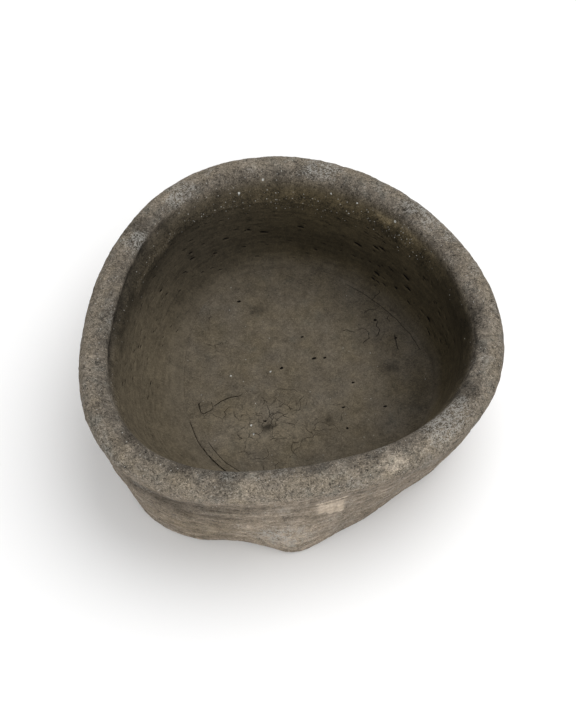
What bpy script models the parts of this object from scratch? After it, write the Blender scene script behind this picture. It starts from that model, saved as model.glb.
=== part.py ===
"""Heavy hand-built clay mortar bowl with a lopsided, rounded-triangle plan and no feet.

It is put together the way it was built up: a thick base slab whose top is the floor, a wall
coil that stands on the slab's shelf, a rim coil with a collar inside it, and one small flake
of the floor's skin that has cracked loose and lies in its own pocket.

Metres, +Z up. The origin is on the resting plane, under the middle of the rim. +X is the
right-hand side and -Y is the front, where the foot has its blunt upright ridge.
"""

import math

import bmesh
import bpy
from mathutils import Vector

# Driving heights above the resting plane
HEIGHT = 0.100            # crown of the lip, at its highest
LIP_BULGE = 0.089         # where the lip is widest
LIP_INNER = 0.0955        # where the lip turns down into the bowl
NECK = 0.077              # seam between wall and rim coil, outside
COLLAR_FOOT = 0.080       # the same seam inside, under the collar
FLOOR_TOP = 0.034         # floor where it meets the wall
SLAB_SHOULDER = 0.048     # seam between slab and wall, outside
SLAB_SHELF = 0.028        # the shelf that the wall's foot stands on, at its lowest

# Other driving dimensions
JOINT_GAP = 0.0003        # clearance kept between touching pieces
FOOT_ROUNDING = 0.005     # worn edge round the resting face
PLUG_STEP = 0.007         # how far the shelf starts outside the floor's edge
SHELF_RISE = 0.006        # the shelf climbs this far over its inner half
FLOOR_DISH = 0.0012       # the floor sinks this far towards its middle
CROWN_WAVE = 0.0015       # the lip's crown is this uneven, by hand
BELLY = 0.07              # share by which the outer wall swells past a straight flare
WALL_ROUNDNESS = 0.75     # 1 is a quarter-ellipse inner wall, 0 a straight slope
BEARINGS = 72             # points round every outline

# Plan outlines: a centre, a plain radius, and swells on it. A swell is the bearing it faces
# (degrees anticlockwise from +X), how far it pushes the outline out, and its breadth in degrees
RIM_CORNERS = ((115, 0.011, 45), (225, 0.028, 35), (338, 0.016, 40))
RIM_OUTER = ((0.0, 0.0), 0.141, RIM_CORNERS)
LIP_WIDTH = 0.021         # across the lip, seen from above
COLLAR_STEP = 0.008       # how far the collar's foot stands inside the lip
COLLAR_SWELL = (90, -0.006, 40)    # the collar is thicker at the rear
NECK_TUCK = 0.004         # how far the neck is drawn in under the lip
FLOOR_EDGE = ((0.018, -0.005), 0.093, ((45, -0.015, 45), (135, 0.008, 30), (240, 0.017, 42)))
FOOT = ((0.016, -0.014), 0.117, ((120, 0.013, 35), (218, 0.039, 32), (268, 0.008, 12),
                                 (308, -0.012, 22)))

# The loose flake: a lozenge on two crossing lines, its corner radius and its thickness
FLAKE_MIDDLE = (-0.062, -0.040)
FLAKE_HEADING = 68        # degrees, the way its long line points
FLAKE_LENGTH = 0.017
FLAKE_WIDTH = 0.013
FLAKE_CORNER_RADIUS = 0.0022
FLAKE_THICKNESS = 0.0030
FLAKE_PROUD = 0.0004      # the flake has lifted this far above the floor
ARC_STEPS = 4             # segments in each rounded corner of the flake

# Colours (linear) and roughness of the unglazed, sand-tempered clay
CLAY_FLOOR = (0.115, 0.092, 0.064)
CLAY_WALL = (0.150, 0.124, 0.090)
CLAY_LIP = (0.200, 0.174, 0.136)
CLAY_FLAKE = (0.130, 0.105, 0.074)
CLAY_ROUGHNESS = 0.92


def clear_scene():
    for item in list(bpy.data.objects):
        bpy.data.objects.remove(item, do_unlink=True)


def clay(name, colour):
    material = bpy.data.materials.new(name)
    material.use_nodes = True
    shader = material.node_tree.nodes["Principled BSDF"]
    shader.inputs["Base Color"].default_value = (*colour, 1.0)
    shader.inputs["Roughness"].default_value = CLAY_ROUGHNESS
    shader.inputs["Metallic"].default_value = 0.0
    material.diffuse_color = (*colour, 1.0)
    return material


def bearing(index):
    return 2 * math.pi * index / BEARINGS


def drawn_in(outline, inset, *swells):
    """The outline that runs an inset inside another, with swells of its own added."""
    centre, radius, others = outline
    return centre, radius - inset, others + swells


RIM_INNER = drawn_in(RIM_OUTER, LIP_WIDTH)
COLLAR_INNER = drawn_in(RIM_INNER, COLLAR_STEP, COLLAR_SWELL)
NECK_OUTER = drawn_in(RIM_OUTER, NECK_TUCK)


def swollen(radius, swells, angle):
    """The radius at an angle, once each swell has pushed it in or out."""
    for facing, reach, breadth in swells:
        away = (math.degrees(angle) - facing + 180) % 360 - 180
        radius += reach * math.exp(-((away / breadth) ** 2))
    return radius


def ring(outline, height, inset=0.0):
    """One closed ring of points: an outline, pulled in by inset, at one height."""
    (x, y), plain_radius, swells = outline
    points = []
    for index in range(BEARINGS):
        angle = bearing(index)
        radius = swollen(plain_radius, swells, angle) - inset
        points.append(Vector((x + radius * math.cos(angle), y + radius * math.sin(angle), height)))
    return points


def blend(first, second, share, height):
    """The ring that lies a share of the way from the first ring to the second, at a height."""
    points = []
    for a, b in zip(first, second):
        point = a.lerp(b, share)
        point.z = height
        points.append(point)
    return points


def raised(points, lift):
    return [point + Vector((0, 0, lift)) for point in points]


def crown_height(index):
    """The lip's crown, which rises and falls twice on its way round."""
    return HEIGHT - CROWN_WAVE * (0.5 + 0.5 * math.cos(2 * bearing(index) + 0.6))


def outer_ring(height):
    """The outside of the bowl between foot and neck, flared and a little bellied."""
    share = (height - FOOT_ROUNDING) / (NECK - FOOT_ROUNDING)
    share += BELLY * math.sin(math.pi * share)
    return blend(ring(FOOT, height), ring(NECK_OUTER, height), share, height)


def inner_ring(turn):
    """The inside of the wall: turn runs from 0 at the floor to 1 under the collar."""
    angle = turn * math.pi / 2
    across = WALL_ROUNDNESS * math.sin(angle) + (1 - WALL_ROUNDNESS) * turn
    rise = WALL_ROUNDNESS * (1 - math.cos(angle)) + (1 - WALL_ROUNDNESS) * turn
    height = FLOOR_TOP + rise * (COLLAR_FOOT - FLOOR_TOP)
    return blend(ring(FLOOR_EDGE, height), ring(COLLAR_INNER, height), across, height)


def slab_joint():
    """The face that the slab shares with the wall, from outside to inside."""
    return [
        outer_ring(SLAB_SHOULDER),
        blend(ring(FLOOR_EDGE, 0, -PLUG_STEP), outer_ring(SLAB_SHOULDER), 0.5, SLAB_SHELF + SHELF_RISE),
        ring(FLOOR_EDGE, SLAB_SHELF, -PLUG_STEP),
        ring(FLOOR_EDGE, FLOOR_TOP),
    ]


def rim_joint():
    """The face that the wall shares with the rim coil, from inside to outside."""
    inside = ring(COLLAR_INNER, COLLAR_FOOT)
    outside = ring(NECK_OUTER, NECK)
    middle = (COLLAR_FOOT + NECK) / 2 + 0.002
    return [inside, blend(inside, outside, 0.5, middle), outside]


def lip_arc(outside, inside, low, steps):
    """Rings over the lip from outside to inside: two quarter ellipses that meet at the crown."""
    rings = []
    for step in range(1, 2 * steps):
        angle = math.pi * step / (2 * steps)
        across = 0.5 - 0.5 * math.cos(angle)
        height = LIP_BULGE if angle < math.pi / 2 else low
        row = []
        for index, (a, b) in enumerate(zip(outside, inside)):
            point = a.lerp(b, across)
            point.z = height + (crown_height(index) - height) * math.sin(angle)
            row.append(point)
        rings.append(row)
    return rings


def add_band(mesh, first, second):
    """Faces between two rings, each quad split on its shorter diagonal, so that the two faces
    of a joint are split alike."""
    count = len(first)
    for index in range(count):
        after = (index + 1) % count
        a, b, c, d = first[index], first[after], second[after], second[index]
        if (a.co - c.co).length < (b.co - d.co).length:
            mesh.faces.new((a, b, c))
            mesh.faces.new((a, c, d))
        else:
            mesh.faces.new((a, b, d))
            mesh.faces.new((b, c, d))


def solid_from_rings(name, rings, material, capped):
    """A closed solid lofted through rings. Capped, the end rings are filled; otherwise the
    last ring joins the first and the solid is a hoop."""
    mesh = bmesh.new()
    rows = [[mesh.verts.new(point) for point in points] for points in rings]
    for first, second in zip(rows, rows[1:]):
        add_band(mesh, first, second)
    if capped:
        mesh.faces.new(reversed(rows[0]))
        mesh.faces.new(rows[-1])
    else:
        add_band(mesh, rows[-1], rows[0])
    return finish_object(name, mesh, material)


def finish_object(name, mesh, material):
    bmesh.ops.recalc_face_normals(mesh, faces=mesh.faces)
    data = bpy.data.meshes.new(name)
    mesh.to_mesh(data)
    mesh.free()
    data.materials.append(material)
    data.shade_smooth()
    data.set_sharp_from_angle(angle=math.radians(40))
    made = bpy.data.objects.new(name, data)
    bpy.context.scene.collection.objects.link(made)
    return made


def rounded_corners(corners, radius, steps):
    """A closed outline round the corners, each one turned through an arc."""
    points = []
    count = len(corners)
    for index in range(count):
        here = Vector(corners[index])
        back = (Vector(corners[index - 1]) - here).normalized()
        onward = (Vector(corners[(index + 1) % count]) - here).normalized()
        half = back.angle(onward) / 2
        centre = here + (back + onward).normalized() * (radius / math.sin(half))
        start = here + back * (radius / math.tan(half)) - centre
        sweep = math.pi - 2 * half
        turn = 1 if back.x * onward.y - back.y * onward.x < 0 else -1
        for step in range(steps + 1):
            angle = turn * sweep * step / steps
            x = start.x * math.cos(angle) - start.y * math.sin(angle)
            y = start.x * math.sin(angle) + start.y * math.cos(angle)
            points.append(Vector((centre.x + x, centre.y + y)))
    return points


def prism(name, outline, bottom, top, material):
    """An upright prism on an outline, extruded from bottom to top."""
    mesh = bmesh.new()
    face = mesh.faces.new([mesh.verts.new((point.x, point.y, bottom)) for point in outline])
    grown = bmesh.ops.extrude_face_region(mesh, geom=[face])
    moved = [item for item in grown["geom"] if isinstance(item, bmesh.types.BMVert)]
    bmesh.ops.translate(mesh, verts=moved, vec=(0, 0, top - bottom))
    return finish_object(name, mesh, material)


def flake_corners():
    """The flake's four corners: both ends of its long line, and of the line across it."""
    middle = Vector(FLAKE_MIDDLE)
    angle = math.radians(FLAKE_HEADING)
    along = Vector((math.cos(angle), math.sin(angle))) * FLAKE_LENGTH / 2
    across = Vector((-math.sin(angle), math.cos(angle))) * FLAKE_WIDTH / 2
    return middle + along, middle + across, middle - along, middle - across


def build_base_slab(material):
    """The thick slab: resting face, worn foot, lower outside, shelf for the wall, and floor."""
    rings = [
        ring(FOOT, 0, FOOT_ROUNDING),
        ring(FOOT, FOOT_ROUNDING * 0.3, FOOT_ROUNDING * 0.3),
        ring(FOOT, FOOT_ROUNDING),
        outer_ring(0.5 * (FOOT_ROUNDING + SLAB_SHOULDER)),
    ]
    rings += slab_joint()
    edge = ring(FLOOR_EDGE, FLOOR_TOP)
    middle = [Vector((*FLOOR_EDGE[0], FLOOR_TOP))] * BEARINGS
    for share in (0.12, 0.35):
        sunk = FLOOR_TOP - FLOOR_DISH * share / 0.35
        rings.append(blend(edge, middle, share, sunk))
    slab = solid_from_rings("base_slab", rings, material, capped=True)
    pocket = prism(
        "flake_pocket_cutter",
        rounded_corners(flake_corners(), FLAKE_CORNER_RADIUS, ARC_STEPS),
        FLOOR_TOP - FLOOR_DISH - FLAKE_THICKNESS,
        FLOOR_TOP + FLAKE_THICKNESS,
        material,
    )
    pocket.hide_render = True
    pocket.display_type = "WIRE"
    cut = slab.modifiers.new("flake_pocket", "BOOLEAN")
    cut.operation = "DIFFERENCE"
    cut.solver = "EXACT"
    cut.object = pocket
    return slab


def build_wall_coil(material):
    """The hoop of wall between the slab's shelf and the rim coil."""
    rings = [raised(points, JOINT_GAP) for points in reversed(slab_joint())]
    rings[0] = ring(FLOOR_EDGE, FLOOR_TOP + JOINT_GAP, -JOINT_GAP)
    for share in (0.25, 0.5, 0.75):
        rings.append(outer_ring(SLAB_SHOULDER + share * (NECK - SLAB_SHOULDER)))
    rings += reversed(rim_joint())
    for step in range(5, 0, -1):
        rings.append(inner_ring(step / 6))
    return solid_from_rings("wall_coil", rings, material, capped=False)


def build_rim_coil(material):
    """The thick rounded lip, with the collar that hangs inside it."""
    foot = [raised(points, JOINT_GAP) for points in rim_joint()]
    bulge = ring(RIM_OUTER, LIP_BULGE)
    throat = ring(RIM_INNER, LIP_INNER)
    collar = ring(COLLAR_INNER, COLLAR_FOOT + JOINT_GAP)
    rings = list(foot)
    rings.append(blend(foot[-1], bulge, 0.75, 0.5 * (NECK + LIP_BULGE)))
    rings.append(bulge)
    rings += lip_arc(bulge, throat, LIP_INNER, 3)
    rings.append(throat)
    rings.append(blend(throat, collar, 0.42, 0.5 * (LIP_INNER + COLLAR_FOOT)))
    return solid_from_rings("rim_coil", rings, material, capped=False)


def build_floor_flake(material):
    """The loose flake, smaller than its pocket by the joint gap all round."""
    outline = rounded_corners(flake_corners(), FLAKE_CORNER_RADIUS, ARC_STEPS)
    centre = sum(outline, Vector((0, 0))) / len(outline)
    shrunk = [point - (point - centre).normalized() * JOINT_GAP * 1.5 for point in outline]
    bottom = FLOOR_TOP - FLOOR_DISH - FLAKE_THICKNESS + JOINT_GAP
    top = FLOOR_TOP - FLOOR_DISH * 0.35 + FLAKE_PROUD
    return prism("floor_flake", shrunk, bottom, top, material)


def main():
    clear_scene()
    build_base_slab(clay("clay_floor", CLAY_FLOOR))
    build_wall_coil(clay("clay_wall", CLAY_WALL))
    build_rim_coil(clay("clay_lip", CLAY_LIP))
    build_floor_flake(clay("clay_flake", CLAY_FLAKE))


main()
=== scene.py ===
"""The looks of the hand-built clay mortar bowl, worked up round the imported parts.

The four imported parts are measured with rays, rebuilt as dense meshes with the marks of the
hand and of use worked into them, and painted with procedural clay. Lengths named _MM and the
charts that marks are placed on are in millimetres; everything else is in metres. Bearings are
in degrees anticlockwise from +X, about the middle of the base slab.
"""
import math
from itertools import product

import bmesh
import bpy
import numpy as np
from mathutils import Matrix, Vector
from mathutils.bvhtree import BVHTree


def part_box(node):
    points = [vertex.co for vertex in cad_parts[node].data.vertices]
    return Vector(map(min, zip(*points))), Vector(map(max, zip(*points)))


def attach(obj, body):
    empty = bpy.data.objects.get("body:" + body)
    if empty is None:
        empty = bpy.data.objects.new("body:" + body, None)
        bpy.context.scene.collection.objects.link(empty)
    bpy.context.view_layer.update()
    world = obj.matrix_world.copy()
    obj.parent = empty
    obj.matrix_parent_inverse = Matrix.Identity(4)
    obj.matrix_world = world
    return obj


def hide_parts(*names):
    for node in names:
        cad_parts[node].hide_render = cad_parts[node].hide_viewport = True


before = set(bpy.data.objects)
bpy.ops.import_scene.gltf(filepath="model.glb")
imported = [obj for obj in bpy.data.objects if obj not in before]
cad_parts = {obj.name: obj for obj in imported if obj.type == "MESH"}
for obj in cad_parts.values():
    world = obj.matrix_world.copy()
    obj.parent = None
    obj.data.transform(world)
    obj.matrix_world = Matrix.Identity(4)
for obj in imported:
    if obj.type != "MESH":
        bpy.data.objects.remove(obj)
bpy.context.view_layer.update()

MM = 0.001

# Driving dimensions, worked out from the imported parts
SLAB_LOW, SLAB_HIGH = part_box("base_slab")
WALL_LOW, WALL_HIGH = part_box("wall_coil")
RIM_LOW, RIM_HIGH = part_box("rim_coil")
FLAKE_LOW, FLAKE_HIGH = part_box("floor_flake")
CENTRE = Vector(((SLAB_LOW.x + SLAB_HIGH.x) / 2, (SLAB_LOW.y + SLAB_HIGH.y) / 2, 0.0))
WIDTH = RIM_HIGH.x - RIM_LOW.x
CROWN = RIM_HIGH.z                       # top of the lip
NECK = RIM_LOW.z                         # seam between wall and rim, outside
COLLAR_FOOT = WALL_HIGH.z                # the same seam, inside
SHOULDER = SLAB_HIGH.z                   # seam between slab and wall, outside
FLOOR_TOP = FLAKE_HIGH.z                 # floor at its edge
SHELF = WALL_LOW.z                       # lowest point of the wall, inside the slab's joint
FOOT_ROUNDING = 5 * MM
FLOOR_DISH = 1.2 * MM
DISH_SHARE = 0.35                        # outer share of the floor over which it sinks
SHELF_STEP = 7 * MM
SHELF_RISE = 6 * MM

MEASURED = 72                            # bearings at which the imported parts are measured
RIM_BEARINGS = 960
WALL_BEARINGS = 840
SLAB_BEARINGS = 720
FAR = 2 * WIDTH

chance = np.random.default_rng(7)
GRADIENTS = chance.normal(size=(256, 3))
GRADIENTS /= np.linalg.norm(GRADIENTS, axis=1)[:, None]


# ---------------------------------------------------------------- noise and small curves

def noise(points, size, seed=0):
    """Smooth noise from about -1 to 1 with lumps of one size, or of a size per axis."""
    scaled = points / np.asarray(size, float) + 31.7 * (seed + 1)
    cell = np.floor(scaled).astype(np.int64)
    part = scaled - cell
    fade = part ** 3 * (part * (part * 6 - 15) + 10)
    total = np.zeros(len(points))
    for corner in product((0, 1), repeat=3):
        key = cell + corner
        mixed = key[:, 0] * 73856093 ^ key[:, 1] * 19349663 ^ key[:, 2] * 83492791
        mixed = (mixed ^ (mixed >> 13)) * 1274126177
        slope = GRADIENTS[(mixed >> 9) & 255]
        weight = np.where(corner, fade, 1 - fade).prod(axis=1)
        total += weight * (slope * (part - corner)).sum(axis=1)
    return total * 1.6


def rough(points, size, octaves, seed=0):
    """Noise with finer and finer lumps on top of it."""
    total = np.zeros(len(points))
    for step in range(octaves):
        total += noise(points, np.asarray(size, float) / 2 ** step, seed + step) / 1.8 ** step
    return total


def soft_step(value, low, high):
    share = np.clip((value - low) / (high - low), 0, 1)
    return share * share * (3 - 2 * share)


def hump(value, centre, half_width):
    return np.exp(-((value - centre) / half_width) ** 2)


def turn(bearing, centre):
    """Degrees from a bearing, from -180 to 180."""
    return (bearing - centre + 180) % 360 - 180


def sector(bearing, first, last, fade=12):
    """1 between two bearings, falling to 0 over the fade outside them."""
    middle = first + ((last - first) % 360) / 2
    half = ((last - first) % 360) / 2
    return 1 - soft_step(abs(turn(bearing, middle)), half, half + fade)


def round_about(bearing, values):
    """A closed smooth reading of values given at even bearings from +X."""
    values = np.asarray(values, float)
    place = bearing / 360 * len(values)
    start = np.floor(place).astype(int)
    t = place - start
    t = t * t * (3 - 2 * t)
    return values[start % len(values)] * (1 - t) + values[(start + 1) % len(values)] * t


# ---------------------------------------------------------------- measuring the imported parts

def tree_of(node):
    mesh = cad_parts[node].data
    corners = [vertex.co.copy() for vertex in mesh.vertices]
    return BVHTree.FromPolygons(corners, [face.vertices[:] for face in mesh.polygons])


def hits(tree, radius, height, tilt):
    """Where a ray in each bearing's own section meets a part, as rows of radius and height.
    The ray starts at a radius and height; tilt 0 points away from the axis and pi / 2 up."""
    found = []
    columns = np.broadcast_arrays(np.zeros(MEASURED), radius, height, tilt)[1:]
    for index, (r, z, angle) in enumerate(zip(*columns)):
        bearing = 2 * math.pi * index / MEASURED
        outward = Vector((math.cos(bearing), math.sin(bearing), 0))
        start = CENTRE + outward * r + Vector((0, 0, z))
        way = outward * math.cos(angle) + Vector((0, 0, math.sin(angle)))
        place = tree.ray_cast(start, way)[0]
        if place is None:
            raise ValueError(f"a measuring ray missed at bearing {math.degrees(bearing):.0f}")
        found.append(((place - CENTRE).dot(outward), place.z))
    return np.array(found)


def from_outside(tree, height):
    return hits(tree, FAR, height, math.pi)


def from_axis(tree, height):
    return hits(tree, 0, height, 0)


def spread(rows, count, smoothing):
    """The same path with count rows evenly along it, its corners rounded and its ends kept."""
    rows = np.asarray(rows)
    steps = np.linalg.norm(np.diff(rows, axis=0), axis=2).mean(axis=1)
    along = np.concatenate([[0], np.cumsum(steps)])
    wanted = np.linspace(0, along[-1], count)
    index = np.clip(np.searchsorted(along, wanted, side="right") - 1, 0, len(rows) - 2)
    share = ((wanted - along[index]) / (along[index + 1] - along[index]))[:, None, None]
    made = rows[index] * (1 - share) + rows[index + 1] * share
    for _ in range(smoothing):
        made[1:-1] = (made[:-2] + 2 * made[1:-1] + made[2:]) / 4
    return made


def more_bearings(rows, count):
    """Rows read at count bearings in place of the measured ones, with no new wiggles."""
    waves = np.fft.rfft(rows, axis=1)
    waves[:, 32:] = 0
    return np.fft.irfft(waves, n=count, axis=1) * (count / MEASURED)


def straight(first, last, count):
    """Rows between two rows, without them."""
    shares = np.linspace(0, 1, count + 2)[1:-1]
    return np.array([first * (1 - share) + last * share for share in shares])


def slab_shelf(edge, shoulder, lift):
    """The hidden joint between slab and wall, from the floor's edge out to the shoulder."""
    step = edge + (SHELF_STEP, 0)
    step[:, 1] = SHELF
    middle = (step + shoulder) / 2
    middle[:, 1] = SHELF + SHELF_RISE
    low = np.array([step, middle])
    low[:, :, 1] += lift
    return low


# ---------------------------------------------------------------- weaving rows into a mesh

def weave(name, rows, hoop):
    """A mesh through rows of points. A row may have half the points of its neighbour. A hoop's
    last row joins its first; otherwise the end rows are closed by a point in the middle."""
    starts = np.cumsum([0] + [len(row) for row in rows])
    points = np.concatenate(rows)
    faces = []
    pairs = list(zip(range(len(rows) - 1), range(1, len(rows))))
    if hoop:
        pairs.append((len(rows) - 1, 0))
    for one, two in pairs:
        a, b = len(rows[one]), len(rows[two])
        if a == b:
            here = np.arange(a)
            after = (here + 1) % a
            quads = np.stack([starts[one] + here, starts[one] + after,
                              starts[two] + after, starts[two] + here], axis=1)
            faces += quads.tolist()
            continue
        fine, coarse, flip = (one, two, False) if a > b else (two, one, True)
        here = np.arange(min(a, b))
        after = (here + 1) % min(a, b)
        c0, c1 = starts[coarse] + here, starts[coarse] + after
        f0, f1 = starts[fine] + 2 * here, starts[fine] + 2 * here + 1
        f2 = starts[fine] + 2 * after
        for trio in ((f0, f1, c0), (f1, c1, c0), (f1, f2, c1)):
            found = np.stack(trio[::-1] if flip else trio, axis=1)
            faces += found.tolist()
    if not hoop:
        for row, back in ((0, True), (len(rows) - 1, False)):
            middle = len(points)
            points = np.concatenate([points, rows[row].mean(axis=0)[None]])
            ring = starts[row] + np.arange(len(rows[row]))
            after = np.roll(ring, -1)
            trio = (after, ring) if back else (ring, after)
            faces += [(int(p), int(q), middle) for p, q in zip(*trio)]
    mesh = bpy.data.meshes.new(name)
    mesh.from_pydata(points.tolist(), [], faces)
    mesh.update()
    return mesh


def place(rows):
    """Rows of radius and height as rows of points."""
    placed = []
    for row in rows:
        bearing = 2 * np.pi * np.arange(len(row)) / len(row)
        placed.append(np.stack([CENTRE.x + row[:, 0] * np.cos(bearing),
                                CENTRE.y + row[:, 0] * np.sin(bearing), row[:, 1]], axis=1))
    return placed


def read(mesh, what):
    values = np.zeros(len(mesh.vertices) * 3)
    mesh.vertices.foreach_get(what, values)
    return values.reshape(-1, 3)


def facing_out(mesh):
    """Turns the faces over if the mesh was woven inside out."""
    made = bmesh.new()
    made.from_mesh(mesh)
    bmesh.ops.recalc_face_normals(made, faces=made.faces)
    made.to_mesh(mesh)
    made.free()


def chart(points):
    """Bearing in degrees, distance from the axis in metres, and height in millimetres."""
    east = points[:, 0] - CENTRE.x
    north = points[:, 1] - CENTRE.y
    return np.degrees(np.arctan2(north, east)) % 360, np.hypot(east, north), points[:, 2] / MM


# ---------------------------------------------------------------- where the marks lie

ARC_MM = 1.95         # millimetres of wall to a degree of bearing, on the inside
RIM_ARC_MM = 2.1      # the same on the collar


def wandering_cracks(count, middle, reach, widths, depth):
    """Cracks that wander off from random places round a middle."""
    lines = []
    for _ in range(count):
        x, y = chance.normal(middle, reach)
        heading = chance.uniform(0, 2 * math.pi)
        corners = [(x, y)]
        for _ in range(chance.integers(3, 7)):
            heading += chance.choice((-1, 1)) * chance.uniform(0.3, 1.2)
            length = chance.uniform(2.5, 5.5)
            x += length * math.cos(heading)
            y += length * math.sin(heading)
            corners.append((x, y))
        lines.append((chance.uniform(*widths), depth, corners))
    return lines


def edge_crack(first, last, inset):
    """A crack that follows the floor's edge between two bearings, an inset in from it."""
    bearings = np.linspace(first, last, 6)
    radius = round_about(bearings % 360, from_axis(tree_of("wall_coil"), FLOOR_TOP - 0.2 * MM)[:, 0])
    turned = np.radians(bearings)
    across = (CENTRE.x + (radius - inset * MM) * np.cos(turned)) / MM
    along = (CENTRE.y + (radius - inset * MM) * np.sin(turned)) / MM
    return list(zip(across, along))


def bent_line(x, y, heading, bend, length, steps):
    """A line of equal steps that turns by the same angle at each of them."""
    corners = [(x, y)]
    for step in range(steps):
        angle = math.radians(heading + bend * step)
        x += length * math.cos(angle)
        y += length * math.sin(angle)
        corners.append((x, y))
    return corners


FLAKE_END = (FLAKE_HIGH.x / MM, (FLAKE_LOW.y + FLAKE_HIGH.y) / 2 / MM)
# Cracks in the floor: half width, depth and corners
FLOOR_CRACKS = [
    (0.34, 0.5, bent_line(*FLAKE_END, 40, -15, 8, 3)),    # runs on from the flake
    (0.26, 0.4, edge_crack(212, 242, 0)),                 # crescent at the front left
    (0.24, 0.3, edge_crack(226, 248, 6)),                 # and the line inside it
    (0.22, 0.3, edge_crack(62, 8, 3)),                    # round the right rear edge
    (0.30, 0.4, bent_line(80, 25, 275, 10, 8, 2)),        # and across from it
]
FLOOR_CRACKS += wandering_cracks(6, (60, 40), (10, 9), (0.20, 0.26), 0.3)
HAIR_CRACKS = wandering_cracks(24, (-5, -60), (20, 14), (0.15, 0.21), 0.15)


def floor_lines(points):
    """The floor's cracks, read with a small waver, so that none of them runs straight."""
    x = points[:, 0] / MM + 0.35 * rough(points, 5 * MM, 2, 35)
    y = points[:, 1] / MM + 0.35 * rough(points, 5 * MM, 2, 37)
    return nearest_line(x, y, FLOOR_CRACKS + HAIR_CRACKS)


def stamp(across, along, marks):
    """Depth in millimetres of the elongated pits at each place of a flat chart."""
    depth = np.zeros(len(across))
    for x, y, length, width, deep in marks:
        near = np.flatnonzero((abs(across - x) < length * 1.3) & (abs(along - y) < length * 1.3))
        if not len(near):
            continue
        u = across[near] - x
        v = along[near] - y - PIT_TILT * u
        reach = (2 * u / length) ** 2 + (2 * v / width) ** 2
        depth[near] = np.maximum(depth[near], deep * np.exp(-reach ** 1.5))
    return depth


def nearest_line(across, along, lines, reach=2.6, taper=2.5):
    """Signed distance to the nearest drawn line, and that line's half width and depth, which
    are 0 beyond its reach and fade towards its ends."""
    signed = np.full(len(across), 9.0)
    half_width = np.zeros(len(across))
    depth = np.zeros(len(across))
    for wide, deep, corners in lines:
        corners = np.array(corners)
        lengths = np.linalg.norm(np.diff(corners, axis=0), axis=1)
        start = np.concatenate([[0], np.cumsum(lengths)])
        low, high = corners.min(axis=0) - reach, corners.max(axis=0) + reach
        near = np.flatnonzero((across > low[0]) & (across < high[0])
                              & (along > low[1]) & (along < high[1]))
        spot = np.stack([across[near], along[near]], axis=1)
        best = np.full(len(near), 9.0)
        travelled = np.zeros(len(near))
        for index, length in enumerate(lengths):
            way = (corners[index + 1] - corners[index]) / length
            offset = spot - corners[index]
            run = np.clip(offset @ way, 0, length)
            gap = offset - run[:, None] * way
            side = np.sign(way[0] * gap[:, 1] - way[1] * gap[:, 0] + 1e-12)
            away = side * np.linalg.norm(gap, axis=1)
            closer = abs(away) < abs(best)
            best[closer] = away[closer]
            travelled[closer] = (start[index] + run)[closer]
        fade = np.clip(np.minimum(travelled, start[-1] - travelled) / taper, 0, 1) ** 0.5
        use = (abs(best) < abs(signed[near])) & (abs(best) < reach) & (fade > 0)
        chosen = near[use]
        signed[chosen] = best[use]
        half_width[chosen] = (wide * fade)[use]
        depth[chosen] = (deep * fade)[use]
    return signed, half_width, depth


def scattered_pits(count, across, along, length, width, depth):
    """Pits thrown at random over a patch of a chart: place, length, width and depth."""
    marks = []
    for _ in range(count):
        marks.append((chance.uniform(*across), chance.uniform(*along), chance.uniform(*length),
                      chance.uniform(*width), chance.uniform(*depth)))
    return marks


PIT_TILT = 0.2                           # slant of the pits in the floor
FLOOR_PITS = scattered_pits(13, (-60, 90), (-88, 60), (1.6, 3.6), (1.2, 1.9), (0.5, 0.9))


# ---------------------------------------------------------------- the pieces' shapes

def hand_shape(points):
    """The slow unevenness of hand-built clay, in millimetres."""
    return 0.55 * noise(points, 45 * MM, 1) + 0.30 * noise(points, 17 * MM, 2)


def sand(points):
    """The grain of sandy clay, about -1 to 1."""
    return 0.6 * noise(points, 1.9 * MM, 3) + 0.5 * noise(points, 3.4 * MM, 4)


def eased_kink(height):
    """How far the corner where the collar meets the wall is rubbed down, in millimetres."""
    return 1.3 * hump(height, COLLAR_FOOT / MM, 6)


def shared_normals(points, normals, inside):
    """Normals made alike on both sides of the seam between wall and rim, so that both pieces
    are pushed the same way there."""
    bearing, _, height = chart(points)
    turned = np.radians(bearing)
    level = np.stack([np.cos(turned), np.sin(turned), np.zeros(len(points))], axis=1)
    within = -0.9 * level + (0, 0, 0.43)
    for common, seam, side in ((within, COLLAR_FOOT, inside), (level, NECK, 1 - inside)):
        share = (hump(height, seam / MM, 5) * side)[:, None]
        share = np.clip(share * 1.5, 0, 1)
        normals = normals * (1 - share) + common * share
    return normals / np.linalg.norm(normals, axis=1)[:, None]


def push(mesh, points, normals, amount_mm):
    moved = points + normals * (amount_mm * MM)[:, None]
    mesh.vertices.foreach_set("co", moved.ravel())
    mesh.update()
    return moved


RIM_ROWS = 90                            # rows that show; the joint below is hidden


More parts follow.
